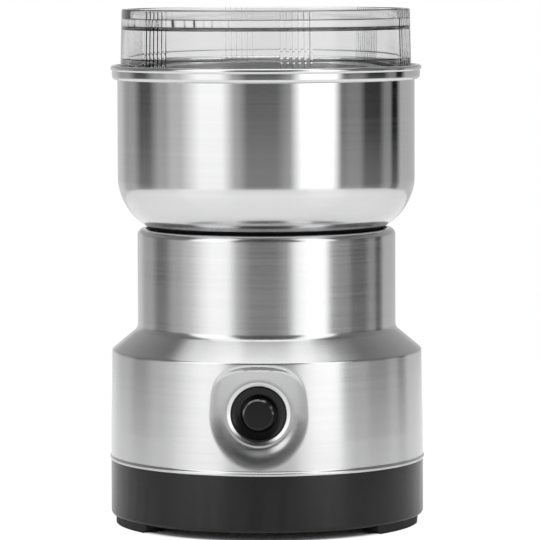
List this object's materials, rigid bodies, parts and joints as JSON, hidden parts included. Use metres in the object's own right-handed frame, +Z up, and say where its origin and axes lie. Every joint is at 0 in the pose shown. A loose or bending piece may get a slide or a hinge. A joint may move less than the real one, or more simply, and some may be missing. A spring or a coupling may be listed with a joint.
{
  "type": "electric spice grinder",
  "caption": "Upright electric spice grinder: clear lift-off lid, fixed steel bowl with a blade, stepped steel body with a push button, black base.",
  "frame": {"origin": "bottom centre of the four feet, on the grinder's axis", "axes": "+Z up along the motor's axis, -Y towards the front with the button, +X to the right seen from the front"},
  "size_m": [0.1006, 0.1006, 0.1638],
  "materials": {
    "foot_rubber": "matte",
    "base_plastic": "satin",
    "screw_steel": "zinc plated",
    "frame_plastic": "moulded",
    "capacitor_case": "satin",
    "brushed_shell": "brushed round",
    "seal_rubber": "matte",
    "bowl_steel": "brushed round",
    "hub_plastic": "satin",
    "clear_lid": "clear moulded plastic",
    "blade_steel": "ground",
    "shaft_steel": "ground",
    "lamination_steel": "stacked plates",
    "copper_winding": "enamelled",
    "commutator_copper": "turned",
    "bronze_bearing": "sintered",
    "bracket_alloy": "die cast",
    "terminal_brass": "stamped",
    "carbon": "pressed carbon",
    "spring_steel": "drawn wire",
    "button_plastic": "satin",
    "plunger_plastic": "moulded"
  },
  "bodies": {
    "housing": {"feet": "foot_rubber", "base": "base_plastic", "base_screws": "screw_steel", "cord_bush": "foot_rubber", "cord_clamp": "frame_plastic", "clamp_screws": "screw_steel", "capacitor": "capacitor_case", "outer_shell": "brushed_shell", "neck_seal": "seal_rubber", "motor_frame": "frame_plastic", "bowl_gasket": "seal_rubber", "bowl": "bowl_steel", "shaft_hub": "hub_plastic", "hub_nut": "screw_steel", "shaft_seal": "seal_rubber", "upper_bearing": "shaft_steel", "lower_bearing": "bronze_bearing", "upper_bracket": "bracket_alloy", "lower_bracket": "bracket_alloy", "stator_core": "lamination_steel", "field_coils": "copper_winding", "motor_screws": "screw_steel", "brush_holders": "terminal_brass", "carbon_brushes": "carbon", "brush_springs": "spring_steel", "button_bezel": "button_plastic", "button_spring": "spring_steel", "switch_body": "frame_plastic", "switch_terminals": "terminal_brass"},
    "lid": {"lid": "clear_lid"},
    "button": {"button_cap": "button_plastic", "switch_plunger": "plunger_plastic"},
    "rotor": {"motor_shaft": "shaft_steel", "armature_core": "lamination_steel", "armature_windings": "copper_winding", "commutator": "commutator_copper", "cooling_fan": "frame_plastic", "blade": "blade_steel", "blade_washer": "screw_steel", "blade_nut": "screw_steel"}
  },
  "joints": [
    {"name": "lid_lift", "type": "slide", "parent": "housing", "child": "lid", "axis": [0, 0, 1], "range_m": [0, 0.04]},
    {"name": "button_press", "type": "slide", "parent": "housing", "child": "button", "axis": [0, 1, 0], "range_m": [0, 0.0025], "stiffness_N_per_m": 600, "springref_m": -0.001, "deforming": ["button_spring"]},
    {"name": "rotor_spin", "type": "hinge", "parent": "housing", "child": "rotor", "pos_m": [0, 0, 0.05], "axis": [0, 0, 1], "continuous": true}
  ]
}
